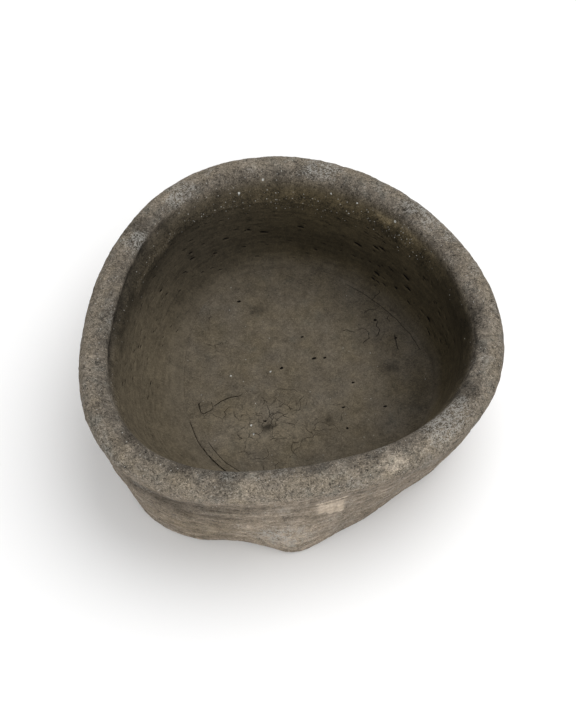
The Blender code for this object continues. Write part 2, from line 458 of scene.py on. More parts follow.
def rim_shape():
    tree = tree_of("rim_coil")
    neck = from_outside(tree, NECK + 0.3 * MM)
    foot = from_axis(tree, COLLAR_FOOT + 0.2 * MM)
    below = from_axis(tree_of("wall_coil"), COLLAR_FOOT - 0.8 * MM) - (0.1 * MM, 0)
    core = (neck + foot) / 2
    core[:, 1] = NECK + 0.45 * (CROWN - NECK)
    first = np.arctan2(neck[:, 1] - core[:, 1], neck[:, 0] - core[:, 0])
    last = np.arctan2(foot[:, 1] - core[:, 1], foot[:, 0] - core[:, 0]) % (2 * np.pi)
    over = [hits(tree, core[:, 0], core[:, 1], first + (last - first) * share)
            for share in np.linspace(0, 1, 60)]
    over[0], over[-1] = neck, foot
    over.append(below)
    shown = spread(over, RIM_ROWS, 14)
    hidden = straight(below, neck, 4)
    rows = more_bearings(np.concatenate([shown, hidden]), RIM_BEARINGS)
    mesh = weave("bowl_rim", place(rows), hoop=True)
    facing_out(mesh)
    points, normals = read(mesh, "co"), read(mesh, "normal")
    bearing, _, height = chart(points)
    row = np.arange(len(points)) // RIM_BEARINGS
    share = np.clip(row / (RIM_ROWS - 1), 0, 1)
    inside = soft_step(share, 0.45, 0.58)
    lip = 1 - soft_step(share, 0.60, 0.72)
    grain = 0.26 * sand(points) * (lip + (1 - lip) * 0.5)
    chips = np.clip(rough(points, 5 * MM, 2, 11) - 0.5, 0, 1) * lip
    amount = 0.4 + hand_shape(points) + grain - 1.3 * chips
    amount += 0.3 * rough(points, 8 * MM, 2, 12) * lip
    ridge = hump(height, 84.5, 3.2) * inside * sector(bearing, 130, 172, 12)
    upper = hump(height, 91.5, 2.8) * inside * sector(bearing, 138, 190, 14)
    gutter = hump(height, 88.0, 3.0) * inside * sector(bearing, 20, 66, 14)
    tuck = hump(height, 79.0, 3.5) * (1 - inside) * sector(bearing, 215, 262, 14)
    scar = hump(height, 79.0, 3.5) * inside * rough(points, 6 * MM, 2, 13)
    amount += 1.2 * ridge - 1.7 * upper - 0.7 * gutter - 1.0 * tuck + 0.5 * scar
    amount -= eased_kink(height) * inside
    hidden_part = row >= RIM_ROWS
    amount[hidden_part] = 0
    push(mesh, points, shared_normals(points, normals, inside), amount)
    raised = grain * 3 - chips * 3
    return mesh, {"raised": np.where(hidden_part, 0, raised), "inside": inside}


WALL_OUT = 38                            # rows outside, over the top and inside
WALL_TOP = 3
WALL_IN = 64


def wall_shape():
    tree = tree_of("wall_coil")
    shoulder = from_outside(tree, SHOULDER + 0.5 * MM)
    neck = from_outside(tree, NECK - 0.5 * MM)
    outer = [from_outside(tree, height)
             for height in np.linspace(SHOULDER + 0.5 * MM, NECK - 0.5 * MM, 12)]
    top = from_axis(tree, COLLAR_FOOT - 0.8 * MM)
    edge = from_axis(tree, FLOOR_TOP - 0.2 * MM)
    eye = COLLAR_FOOT - 5 * MM
    first = np.arctan2(top[:, 1] - eye, top[:, 0])
    last = np.arctan2(edge[:, 1] + 0.6 * MM - eye, edge[:, 0])
    inner = [hits(tree, 0, eye, first + (last - first) * share)
             for share in np.linspace(0, 1, 30)]
    # the ends run a little into the neighbouring pieces, where the coils were smeared together
    inner[0] = top + (0.5 * MM, 0.9 * MM)
    inner[-1] = edge - (0.4 * MM, 0.5 * MM)
    outer[0] = shoulder - (0, 0.9 * MM)
    outer[-1] = neck + (0, 1.0 * MM)
    shown_out = spread(outer, WALL_OUT, 6)
    shown_in = spread(inner, WALL_IN, 8)
    hidden = slab_shelf(edge, shoulder, 0.3 * MM)
    rows = np.concatenate([shown_out, straight(neck, top, WALL_TOP), shown_in, hidden])
    mean_height = shown_in[:, :, 1].mean(axis=1) / MM
    steps = np.linalg.norm(np.diff(shown_in, axis=0), axis=2).mean(axis=1) / MM
    run = np.concatenate([[0], np.cumsum(steps)])
    rows = more_bearings(rows, WALL_BEARINGS)
    mesh = weave("bowl_wall", place(rows), hoop=True)
    facing_out(mesh)
    points, normals = read(mesh, "co"), read(mesh, "normal")
    bearing, _, height = chart(points)
    row = np.arange(len(points)) // WALL_BEARINGS
    outside = row < WALL_OUT
    first_in = WALL_OUT + WALL_TOP
    inside = (row >= first_in) & (row < first_in + WALL_IN)
    down = run[np.clip(row - first_in, 0, WALL_IN - 1)]
    streaks = noise(points, (14 * MM, 14 * MM, 1.3 * MM), 21)
    streaks += 0.6 * noise(points, (7 * MM, 7 * MM, 0.9 * MM), 22)
    amount = hand_shape(points)
    # the largest pits were dragged open low on the wall, widest at the right rear
    pits = scattered_pits(9, (15, 65), (38, 64), (4.0, 8.0), (1.6, 2.0), (1.4, 1.7))
    pits += scattered_pits(10, (75, 165), (40, 62), (3.0, 8.0), (1.2, 1.5), (1.0, 1.3))
    pits += scattered_pits(85, (-20, 75), (38, 78), (2.2, 6.0), (0.6, 1.2), (0.4, 0.9))
    pits += scattered_pits(110, (75, 200), (38, 76), (2.0, 6.0), (0.35, 0.75), (0.2, 0.5))
    slits = []
    for b, h, length, width, deep in pits:
        s = np.interp(h, mean_height[::-1], run[::-1])
        x = b * ARC_MM
        bow = 0.12 * length
        slits.append((width * 0.42, deep, ((x - length / 2, s + bow), (x, s),
                                           (x + length / 2, s - bow * 0.4))))
    signed, half_width, deep = nearest_line(bearing * ARC_MM, down, slits, 2.6, 2.2)
    # the floor's cracks run on up the wall's foot
    floor_signed, floor_width, floor_deep = floor_lines(points)
    low = (height < 46) & (floor_width > 0)
    signed[low], half_width[low], deep[low] = floor_signed[low], floor_width[low], floor_deep[low]
    half_width[~inside] = 0
    pit = deep * np.exp(-(signed / 0.6) ** 2) * inside
    channel_height = 70 + 8 * soft_step(abs(turn(bearing, 151)), 6, 30)
    channel = hump(height, channel_height, 4.5) * inside * sector(bearing, 118, 166, 14)
    lower_lip = deep * np.exp(-((signed - 1.25) / 0.55) ** 2) * inside
    amount += np.where(inside, 0.10 * streaks - pit - 1.0 * channel - eased_kink(height), 0)
    amount += 0.3 * lower_lip
    amount += 0.14 * sand(points) * inside * soft_step(height, 68, 76)
    # outside: the finger groove under the lip, and the coarse ledge over the slab
    groove = hump(height, 71 - 5 * sector(bearing, 215, 236, 10), 5) * outside
    amount -= 1.5 * groove * sector(bearing, 218, 250, 14)
    drag = 0.40 * noise(points, (16 * MM, 16 * MM, 1.8 * MM), 23) * outside
    drag += 0.20 * noise(points, (8 * MM, 8 * MM, 1.1 * MM), 25) * outside
    ledge = outside * (1 - soft_step(height, 50, 55)) * sector(bearing, 200, 345, 25)
    amount += drag + 0.22 * sand(points) * outside + 0.8 * ledge
    crumbs = np.clip(rough(points, 3.5 * MM, 2, 24) - 0.35, 0, 1)
    amount -= 2.2 * crumbs * ledge
    shown = outside | inside
    amount[~shown] = 0
    push(mesh, points, shared_normals(points, normals, inside * 1.0), amount)
    raised = np.where(outside, 1.2 * drag + 0.35 * sand(points) - 1.5 * crumbs * ledge,
                      0.9 * streaks + 1.6 * lower_lip)
    return mesh, {"raised": raised, "signed": signed, "half_width": half_width,
                  "outside": outside}


SLAB_OUT = 42                            # rows up the outside, and round the foot
FOOT_ROWS = 6


def slab_shape():
    tree = tree_of("base_slab")
    wall = tree_of("wall_coil")
    edge = from_axis(wall, FLOOR_TOP - 0.2 * MM)
    edge[:, 1] = FLOOR_TOP
    shoulder = from_outside(tree, SHOULDER - 0.5 * MM)
    outer = [from_outside(tree, height)
             for height in np.linspace(SHOULDER - 0.5 * MM, FOOT_ROUNDING + 0.1 * MM, 16)]
    outer[0] = shoulder + (0, 0.6 * MM)
    shown_out = spread(outer, SLAB_OUT, 10)
    rounding = []
    for angle in np.linspace(0, np.pi / 2, FOOT_ROWS + 1)[1:]:
        row = shown_out[-1].copy()
        row[:, 0] -= FOOT_ROUNDING * (1 - math.cos(angle))
        row[:, 1] = FOOT_ROUNDING * (1 - math.sin(angle))
        rounding.append(row)
    hidden = slab_shelf(edge, shoulder, 0)
    side = more_bearings(np.concatenate([[edge], hidden, shown_out, rounding]), SLAB_BEARINGS)
    rows = []
    spacing = 0.86 * MM
    rim = more_bearings(edge[None], SLAB_BEARINGS)[0]
    mean = rim[:, 0].mean()
    radius = mean - spacing
    floor = []
    step = 1
    while radius > 4 * MM:
        if radius < mean / 2 / step and step < 16:
            step *= 2
        row = rim[::step].copy()
        share = radius / mean
        row[:, 0] *= share
        row[:, 1] = FLOOR_TOP - FLOOR_DISH * np.sin(np.pi / 2 * min(1, (1 - share) / DISH_SHARE))
        floor.append(row)
        radius -= spacing
    under = []
    foot = side[-1]
    step = 1
    for share in (0.97, 0.90, 0.78, 0.62, 0.46, 0.32, 0.18, 0.08):
        if share < 0.9 / step / 1.5:
            step *= 2
        row = foot[::step].copy()
        row[:, 0] *= share
        under.append(row)
    rows = floor[::-1] + list(side) + under
    mesh = weave("bowl_slab", place(rows), hoop=False)
    facing_out(mesh)
    points, normals = read(mesh, "co"), read(mesh, "normal")
    bearing, _, height = chart(points)
    counts = [len(row) for row in rows]
    row = np.concatenate([np.full(count, index) for index, count in enumerate(counts)]
                         + [[0, len(rows) - 1]])
    on_floor = row <= len(floor)
    first_out = len(floor) + 3
    foot_row = first_out + SLAB_OUT + FOOT_ROWS
    outside = (row >= first_out) & (row < foot_row)
    beneath = row >= foot_row - 1
    x, y = points[:, 0] / MM, points[:, 1] / MM
    pit = stamp(x, y, FLOOR_PITS) * on_floor
    signed, _, depth = floor_lines(points)
    crack = depth * np.clip(1 - abs(signed) / 0.9, 0, 1) * on_floor
    amount = np.where(on_floor, 0.28 * noise(points, 30 * MM, 31) + 0.05 * noise(points, 3 * MM, 32)
                      + 0.10 * noise(points, 9 * MM, 33), 0)
    amount -= pit + crack
    drag = 0.45 * noise(points, (20 * MM, 20 * MM, 2.2 * MM), 23)
    drag += 0.25 * noise(points, (9 * MM, 9 * MM, 1.4 * MM), 25)
    crumbs = np.clip(rough(points, 4 * MM, 2, 24) - 0.4, 0, 1)
    low_down = 1 - soft_step(height, 8, 36)
    ridge = 2.6 * hump(turn(bearing, 268.5), 0, 6) - 2.2 * hump(turn(bearing, 252), 0, 8)
    ridge -= 2.4 * hump(turn(bearing, 283), 0, 8)
    body = hand_shape(points) + drag + 0.2 * sand(points) - 0.9 * crumbs + ridge * low_down
    amount += np.where(outside, body, 0)
    amount = np.where(beneath, -0.25 * (1 + noise(points, 6 * MM, 26)), amount)
    moved = push(mesh, points, normals, amount)
    low = moved[:, 2] < 0
    if low.any():
        moved[low, 2] = 0
        mesh.vertices.foreach_set("co", moved.ravel())
    raised = np.where(outside, drag + 0.3 * sand(points) - crumbs, 0)
    store(mesh, "raised", raised)
    return mesh


def flake_outline():
    """The flake's outline seen from above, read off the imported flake's top face."""
    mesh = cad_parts["floor_flake"].data
    top = {(round(v.co.x, 6), round(v.co.y, 6)) for v in mesh.vertices
           if v.co.z > FLAKE_HIGH.z - 0.1 * MM}
    middle = np.mean(list(top), axis=0)
    return np.array(sorted(top, key=lambda p: math.atan2(p[1] - middle[1], p[0] - middle[0])))


def store(mesh, name, values):
    found = mesh.attributes.get(name) or mesh.attributes.new(name, "FLOAT", "POINT")
    found.data.foreach_set("value", np.asarray(values, np.float32))


def store_all(mesh, **fields):
    for name, values in fields.items():
        store(mesh, name, values)


def recall(mesh, name):
    values = np.zeros(len(mesh.vertices), np.float32)
    found = mesh.attributes.get(name)
    if found:
        found.data.foreach_get("value", values)
    return values.astype(float)


def store_colour(mesh, name, colours):
    found = mesh.attributes.new(name, "FLOAT_COLOR", "POINT")
    full = np.ones((len(colours), 4), np.float32)
    full[:, :3] = np.clip(colours, 0, 1)
    found.data.foreach_set("color", full.ravel())


def densely(outline, spacing):
    """The outline with points no further apart than the spacing."""
    points = []
    for here, after in zip(outline, np.roll(outline, -1, axis=0)):
        count = max(1, int(np.ceil(np.linalg.norm(after - here) / spacing)))
        points += [here + (after - here) * k / count for k in range(count)]
    return np.array(points)


def ragged(outline, grow, seed):
    """The outline with a broken edge: wavering, and pushed out by grow, or in if negative."""
    middle = outline.mean(axis=0)
    away = outline - middle
    away /= np.linalg.norm(away, axis=1)[:, None]
    flat = np.column_stack([outline, np.zeros(len(outline))])
    waver = 0.22 * noise(flat, 2.6 * MM, seed) + 0.16 * noise(flat, 1.2 * MM, seed + 1)
    return outline + away * ((grow + waver) * MM)[:, None]


def cut_pocket(mesh):
    """Cuts the flake's pocket out of the slab, wider on its left, where the crack stands open."""
    outline = densely(flake_outline(), 0.6 * MM)
    left = soft_step(outline.mean(axis=0)[0] - outline[:, 0], 3 * MM, 6 * MM)
    wide = ragged(outline, 0.25 + 0.35 * left, 41)
    pocket_mesh = bpy.data.meshes.new("pocket")
    low, high = FLAKE_LOW.z - 0.4 * MM, FLOOR_TOP + 3 * MM
    count = len(wide)
    points = [(x, y, low) for x, y in wide] + [(x, y, high) for x, y in wide]
    faces = [tuple(reversed(range(count))), tuple(range(count, 2 * count))]
    faces += [(k, (k + 1) % count, count + (k + 1) % count, count + k) for k in range(count)]
    pocket_mesh.from_pydata(points, [], faces)
    cutter = bpy.data.objects.new("pocket_cutter", pocket_mesh)
    slab = bpy.data.objects.new("slab_with_pocket", mesh)
    for item in (cutter, slab):
        bpy.context.scene.collection.objects.link(item)
    cut = slab.modifiers.new("pocket", "BOOLEAN")
    cut.operation = "DIFFERENCE"
    cut.solver = "EXACT"
    cut.object = cutter
    bpy.context.view_layer.update()
    ready = slab.evaluated_get(bpy.context.evaluated_depsgraph_get())
    made = bpy.data.meshes.new_from_object(ready)
    for item in (cutter, slab):
        bpy.data.objects.remove(item)
    made.name = "bowl_slab_cut"
    return made


def flake_shape():
    """The loose flake: a thin chip with a broken edge, lying a little proud in its pocket."""
    outline = densely(flake_outline(), 0.5 * MM)
    left = soft_step(outline.mean(axis=0)[0] - outline[:, 0], 3 * MM, 6 * MM)
    edge = ragged(outline, -0.45 * left, 43)
    middle = edge.mean(axis=0)
    rows = []
    top = FLAKE_HIGH.z - 0.1 * MM
    for share in np.linspace(0.05, 0.96, 16):
        rows.append((share, top))
    rows += [(1.0, top - 0.25 * MM), (1.0, top - 1.2 * MM), (0.99, FLAKE_LOW.z + 0.5 * MM),
             (0.93, FLAKE_LOW.z), (0.5, FLAKE_LOW.z), (0.1, FLAKE_LOW.z)]
    placed = []
    for share, height in rows:
        ring = middle + (edge - middle) * share
        placed.append(np.column_stack([ring, np.full(len(ring), height)]))
    mesh = weave("bowl_flake", placed, hoop=False)
    facing_out(mesh)
    points, normals = read(mesh, "co"), read(mesh, "normal")
    upper = points[:, 2] > top - 0.5 * MM
    amount = np.where(upper, 0.08 * noise(points, 4 * MM, 44) + 0.05 * noise(points, 1.6 * MM, 45), 0)
    push(mesh, points, normals, amount)
    return mesh


# ---------------------------------------------------------------- painting by place

# How light the clay is, as its red share
INSIDE_DARK = 0.041      # inside, at the rear and right: painted shade, partly greasy patina
INSIDE_LIGHT = 0.088     # inside, at the left and front: lighter, as painted light
LIP_INSIDE = 0.115
LIP_OUTSIDE = 0.155
OUTSIDE_TONE = 0.195
FLOOR_TONE = 0.098
YELLOW_BROWN = (1.0, 0.79, 0.45)
CLAY_GREY = (1.0, 0.865, 0.70)
FLOOR_GREY = 0.60        # where the floor lies between them

# Washes, which are soft darker or paler areas, some of them painted shade: bearing, height,
# reach in degrees, reach in millimetres, brightness
INSIDE_WASHES = (
    (5, 80, 30, 12, 0.45),       # shade under the collar on the right
    (170, 84, 26, 10, 0.40),     # the same on the left
    (70, 50, 55, 11, 0.55),      # darkest belt, low round the rear
    (80, 90, 50, 6, 1.75),       # brown band on the collar at the rear
    (150, 72, 20, 7, 0.60),      # painted shade in the channel under the collar at the left rear
)
OUTSIDE_WASHES = (
    (268, 26, 12, 18, 1.45),     # bloom on the front ridge
    (268, 82, 12, 12, 1.35),     # and above it, under the lip
    (240, 48, 14, 26, 0.70),     # painted shade in the hollow left of the ridge
    (231, 63, 14, 8, 0.50),      # painted shade in the finger groove under the lip on the left
    (250, 66, 12, 6, 0.75),      # and on towards the front
    (328, 64, 22, 12, 0.75),     # shade on the right
)
# Soft level bands, most of them painted shade: brightness, half width, first and last bearing, and
# height
INSIDE_BANDS = (
    (0.40, 3.4, 145, 200, 92),   # shade under the lip on the left
    (1.90, 2.8, 135, 165, 81),   # pale edge of the collar below it
    (1.80, 2.4, 25, 65, 88),     # pale edge of the collar on the right
    (0.60, 3.0, 45, 65, 81),     # and the shade under that
    (0.45, 1.8, 335, 370, 95),   # shade under the lip on the right
)
OUTSIDE_BANDS = (
    (0.70, 4.0, 215, 245, 70),   # painted shade in the finger groove under the lip on the left
    (0.86, 5.0, 245, 330, 72),   # and on round the front
    (0.75, 1.3, 235, 270, 55),   # painted shadow along the seam over the slab at the front left
    (1.30, 1.6, 240, 270, 60),   # and a painted highlight on the ridge of clay pushed up above it
)


# The middle of the lip, seen from above, in millimetres from the axis: the rim's mean radius
# less half the lip's width. Marks stray from it by up to the drift
LIP_HALF = 12
LIP_DRIFT = 7
LIP_MIDDLE = 0.25 * (RIM_HIGH.x - RIM_LOW.x + RIM_HIGH.y - RIM_LOW.y) / MM - LIP_HALF


def lip_marks(count, first, last, reach, strength):
    """Marks thrown at random on the lip between two bearings: x, y, reach and strength."""
    marks = []
    for _ in range(count):
        angle = math.radians(chance.uniform(first, last))
        radius = LIP_MIDDLE + chance.uniform(-LIP_DRIFT, LIP_DRIFT)
        east = CENTRE.x / MM + radius * math.cos(angle)
        north = CENTRE.y / MM + radius * math.sin(angle)
        marks.append((east, north, chance.uniform(*reach), chance.uniform(*strength)))
    return marks


# Bloom of pale lime on the lip, and its dark stains and rubbed places
LIME_PATCHES = lip_marks(9, 30, 185, (6, 12), (0.6, 1.0)) + lip_marks(3, 300, 355, (10, 14), (0.6, 0.8))
LIP_STAINS = lip_marks(7, 0, 360, (9, 14), (0.62, 0.80)) + lip_marks(4, 200, 320, (8, 12), (1.2, 1.35))
# Lumps of white lime: bearing, height and reach on the collar, and x, y and reach on the floor
COLLAR_LUMPS = [tuple(chance.uniform((45, 84, 0.7), (110, 98, 1.4))) for _ in range(5)]
FLOOR_LUMPS = [tuple(chance.uniform((-50, -85, 0.7), (20, 10, 1.1))) for _ in range(5)]
# Stains on the floor, with painted light at the front and painted shade at the right: x, y,
# reach along x and y, brightness
FLOOR_STAINS_AND_SHADING = [
    (95, -30, 8, 20, 0.75), (45, -20, 20, 12, 1.08), (-20, -60, 35, 25, 1.40), (65, 10, 10, 18, 0.90),
]
FLOOR_STAINS_AND_SHADING += [tuple(chance.uniform((-40, -70, 3, 3, 0.4), (85, 50, 6, 5, 0.7))) for _ in range(5)]


def washed(bearing, height, washes):
    """Brightness factor of the washes at each bearing and height."""
    factor = np.ones(len(bearing))
    for middle, level, across, along, strength in washes:
        share = hump(turn(bearing, middle), 0, across) * hump(height, level, along)
        factor *= 1 + (strength - 1) * share
    return factor


def banded(bearing, height, level_bands):
    """Brightness factor of the level bands at each bearing and height."""
    factor = np.ones(len(bearing))
    for strength, wide, first, last, level in level_bands:
        middle, half = (first + last) / 2, (last - first) / 2
        share = 1 - soft_step(abs(turn(bearing, middle)), 0.7 * half, 1.15 * half)
        factor *= 1 + (strength - 1) * share * np.exp(-((height - level) / wide) ** 2)
    return factor


def tinted(tone, grey):
    """Clay colour of a lightness, from yellow brown at 0 to grey at 1."""
    share = np.asarray(grey)[:, None]
    return tone[:, None] * (np.array(YELLOW_BROWN) * (1 - share) + np.array(CLAY_GREY) * share)


def away_from(points, east, north, reach):
    """Distance from a place in plan, in shares of its reach."""
    return np.hypot(points[:, 0] / MM - east, points[:, 1] / MM - north) / reach


def lip_stains(points):
    ragged_edge = 1 + 0.45 * rough(points, 6 * MM, 3, 55)
    factor = 1 + 0.16 * rough(points, 13 * MM, 3, 56)
    for east, north, reach, strength in LIP_STAINS:
        away = away_from(points, east, north, reach) * ragged_edge
        factor *= 1 + (strength - 1) * 1.15 * (1 - soft_step(away, 0.4, 1.3))
    return factor


def lime_patches(points):
    ragged_edge = 1 + 0.5 * rough(points, 7 * MM, 3, 52)
    total = np.zeros(len(points))
    for east, north, reach, strength in LIME_PATCHES:
        away = away_from(points, east, north, reach) * ragged_edge
        total = np.maximum(total, strength * (1 - soft_step(away, 0.5, 1.3)))
    return total


def lumps(across, along, marks, arc_mm=1.0):
    """1 on the lumps of a flat chart, falling to 0 at their edges."""
    total = np.zeros(len(across))
    for x, y, reach in marks:
        away = np.hypot(turn(across, x) * arc_mm, along - y)
        total = np.maximum(total, 1 - soft_step(away / reach, 0.5, 1.15))
    return total


def waver(points, seed):
    """Small shifts that keep painted bands from looking ruled."""
    return rough(points, 16 * MM, 3, seed), rough(points, 16 * MM, 3, seed + 7)


PATCH_BEARING = 280.8                    # middle of the patch scraped on the front
PATCH_HEIGHT = 59.5
PATCH_ARC = 4.2                          # its half width, in degrees
PATCH_HALF = 9.0                         # its half height, in millimetres
PATCH_LINE = 69.6                        # height of the pale line over it


def scraped_patch(points):
    """The freshly scraped patch on the front, and the pale line its tool left along the top."""
    bearing, _, height = chart(points)
    across = (turn(bearing, PATCH_BEARING) + 0.5 * rough(points, 4 * MM, 3, 57)) / PATCH_ARC
    middle = PATCH_HEIGHT - 1.0 * across
    half = PATCH_HALF + 2.2 * across + 1.6 * rough(points, 4 * MM, 3, 58)
    inside = 1 - soft_step(abs(across), 0.80, 1.12)
    patch = inside * (1 - soft_step(abs(height - middle), half - 2.0, half + 0.8))
    line = hump(height, PATCH_LINE + 1.6 * across + 0.8 * across ** 2, 0.8)
    line *= 1 - soft_step(abs(across), 1.0, 1.25)
    return patch, line


def floor_edge_tone(bearing):
    """Lightness of the floor at its edge, which is darkest at the rear and right: painted shade from
    the walls there, partly stain.
    """
    return FLOOR_TONE * (1 - 0.55 * (0.5 + 0.5 * np.cos(np.radians(turn(bearing, 25)))))


def outside_colour(points):
    bearing, _, height = chart(points)
    shift, lift = waver(points, 61)
    tone = OUTSIDE_TONE + (LIP_OUTSIDE - OUTSIDE_TONE) * soft_step(height, 62, 95)
    # painted shade in the hollow left of the ridge and in the finger groove
    tone *= washed(bearing + 4 * shift, height + 3 * lift, OUTSIDE_WASHES)
    # painted shade in the groove and along the slab seam, and a painted highlight on the ridge above it
    tone *= banded(bearing + shift, height + 2.2 * lift, OUTSIDE_BANDS)
    below_lip = 1 - soft_step(height, 84, 92)
    level_bands = rough(points, (18 * MM, 18 * MM, 4 * MM), 3, 65)
    tone *= 1 + (0.24 * level_bands + 0.14 * rough(points, 6 * MM, 3, 66)) * below_lip
    patch, line = scraped_patch(points)
    scratches = noise(points, (1.6 * MM, 9 * MM, 9 * MM), 68)
    tone *= 1 + patch * (0.80 + 0.50 * scratches) + 1.7 * line
    warm = hump(turn(bearing, 243), 0, 14) * hump(height, 30, 24)
    colour = tinted(tone, 0.90 - 0.20 * warm + 0.1 * level_bands)
    return colour * (np.array([1.0, 0.975, 0.97]) ** below_lip[:, None])


def inside_colour(points):
    bearing, _, height = chart(points)
    shift, lift = waver(points, 71)
    moved = bearing + 4 * shift
    # painted shade: darker at the rear and right inside, lighter at the left and front
    tone = INSIDE_DARK + (INSIDE_LIGHT - INSIDE_DARK) * sector(moved, 185, 310, 55)
    # painted shade under the collar and in its channel, among the washes
    tone *= washed(moved, height + 2.4 * lift, INSIDE_WASHES)
    tone += (LIP_INSIDE - tone) * soft_step(height + 3 * lift, 88, 98)
    tone *= 1 + 0.26 * rough(points, 9 * MM, 3, 74) * soft_step(height, 74, 82)
    frayed = height + 2.2 * lift + 1.5 * rough(points, 5 * MM, 2, 75)
    # painted shade under the lip, and paler edges on the collar
    tone *= banded(bearing + shift, frayed, INSIDE_BANDS)
    foot = 1 - soft_step(height + 1.5 * lift, 33, 43)
    # the wall's foot takes the floor edge's tone, its painted shade included
    tone += (floor_edge_tone(moved) - tone) * 0.85 * foot
    grey = 0.42 * sector(bearing, 130, 310, 50)
    grey += (FLOOR_GREY - grey) * foot
    return tinted(tone, grey + (1 - grey) * soft_step(height, 84, 98))


def grain_inside(points):
    """How sandy the inside is: bare grain on the lip and in a band at the back, smooth below."""
    bearing, _, height = chart(points)
    lift = rough(points, 12 * MM, 3, 91)
    lip = soft_step(height + 2.5 * lift, 88, 97)
    rear_band = hump(height + 2 * lift, 80, 6) * sector(bearing, 40, 150, 20)
    collar = soft_step(height + 2 * lift, 77, 86)
    return np.clip(0.34 + 0.66 * lip + 0.6 * rear_band + 0.3 * collar, 0, 1), rear_band


def hues(points):
    """Patches of tan and of blue grey, about -1 to 1."""
    return rough(points, 9 * MM, 3, 95) + 0.6 * rough(points, 30 * MM, 2, 98)


def outside_bloom(points):
    """Lime dust on the outside: thin patches everywhere, and a thick one on the front ridge."""
    bearing, _, height = chart(points)
    thin = 0.45 * soft_step(rough(points, 22 * MM, 3, 51), 0.2, 0.9)
    ridge = hump(turn(bearing, 266), 0, 13) * hump(height, 27, 19)
    return np.maximum(thin, soft_step(ridge + 0.35 * rough(points, 8 * MM, 3, 53), 0.35, 1.0))


def paint_rim(mesh, facts):
    points = read(mesh, "co")
    bearing, _, height = chart(points)
    inside = facts["inside"][:, None]
    colour = inside_colour(points) * inside + outside_colour(points) * (1 - inside)
    on_top = soft_step(height, 90, 96)
    colour *= (1 + (lip_stains(points) - 1) * on_top)[:, None]
    store_colour(mesh, "tone", colour)
    sandy, rear_band = grain_inside(points)
    within = facts["inside"]
    on_top = soft_step(height, 93.5, 97)
    bloom = 0.4 * soft_step(rough(points, 22 * MM, 3, 51), 0.2, 0.9)
    open_side = on_top * within + 1 - within
    store_all(mesh, grainy=sandy * within + 1 - within, raised=facts["raised"],
              pale=np.maximum(bloom * open_side, lime_patches(points) * on_top),
              specky=1.1 * open_side + (0.8 + 3.6 * rear_band) * within,
              hue=hues(points) * open_side, streaky=0.3 * (1 - open_side),
              lump=lumps(bearing, height, COLLAR_LUMPS, RIM_ARC_MM) * within)


def paint_wall(mesh, facts):
    points = read(mesh, "co")
    height = points[:, 2] / MM
    outside = facts["outside"]
    colour = inside_colour(points)
    colour[outside] = outside_colour(points)[outside]
    sandy, rear_band = grain_inside(points)
    store_colour(mesh, "tone", colour)
    patch, _ = scraped_patch(points)
    off_floor = soft_step(height, 35, 50)
    store_all(mesh, grainy=np.where(outside, 0.60 * (1 - 0.6 * patch), sandy),
              hue=hues(points) * np.where(outside, 0.7 * (1 - patch), 0.2),
              raised=facts["raised"],
              pale=np.where(outside, outside_bloom(points) * (1 - patch), 0),
              specky=np.where(outside, 0.6, 3.6 * rear_band),
              streaky=np.where(outside, 1.25 * (1 - patch), 0.75 * off_floor),
              crack=facts["signed"], crack_width=facts["half_width"])


def floor_colour(points, share):
    """Colour of the floor, from bearing and share of the way out to its edge."""
    bearing = chart(points)[0]
    x, y = points[:, 0] / MM, points[:, 1] / MM
    shift, lift = waver(points, 81)
    outward = soft_step(share + 0.03 * lift, 0.35, 1.0)
    # painted shade, darker towards the edge at the rear and right
    tone = FLOOR_TONE + (floor_edge_tone(bearing + 4 * shift) - FLOOR_TONE) * outward
    broken_edge = 1 + 0.5 * rough(points, 3.5 * MM, 3, 85)
    # stains, and painted light at the front and painted shade at the right
    for east, north, wide, deep, strength in FLOOR_STAINS_AND_SHADING:
        away = np.hypot((x - east + shift) / wide, (y - north + lift) / deep) * broken_edge
        tone *= 1 + (strength - 1) * np.exp(-away ** 2)
    tone *= 1 + 0.14 * rough(points, 11 * MM, 3, 82)
    return tinted(tone, FLOOR_GREY + 0.2 * rough(points, 24 * MM, 2, 84))


def paint_floor(mesh):
    points = read(mesh, "co")
    bearing, radius, height = chart(points)
    x, y = points[:, 0] / MM, points[:, 1] / MM
    edge = from_axis(tree_of("wall_coil"), FLOOR_TOP - 0.2 * MM)[:, 0]
    limit = round_about(bearing, edge) + 0.5 * MM
    on_floor = (height > FLAKE_LOW.z / MM - 1) & (radius < limit)
    colour = outside_colour(points)
    colour[on_floor] = floor_colour(points, radius / limit)[on_floor]
    store_colour(mesh, "tone", colour)
    signed, half_width, _ = floor_lines(points)
    half_width[~on_floor] = 0
    pit = stamp(x, y, FLOOR_PITS) * on_floor
    crazed = soft_step(0.8 * rough(points, 20 * MM, 2, 83) + hump(x, -10, 45) * hump(y, -58, 26),
                       0.5, 0.8)
    # the floor's pits are painted dark, as the shade inside them
    store_all(mesh, grainy=np.where(on_floor, 0.46, 0.62),
              hue=hues(points) * np.where(on_floor, 0.6, 0.7), raised=recall(mesh, "raised"),
              pale=np.where(on_floor, 0, outside_bloom(points)),
              specky=np.where(on_floor, 0.15, 0.6), streaky=np.where(on_floor, 0, 1.25),
              dark=np.clip(pit * 2.0, 0, 1), craze=crazed * on_floor,
              lump=lumps(x, y, FLOOR_LUMPS) * on_floor, crack=signed, crack_width=half_width)


# ---------------------------------------------------------------- procedural clay

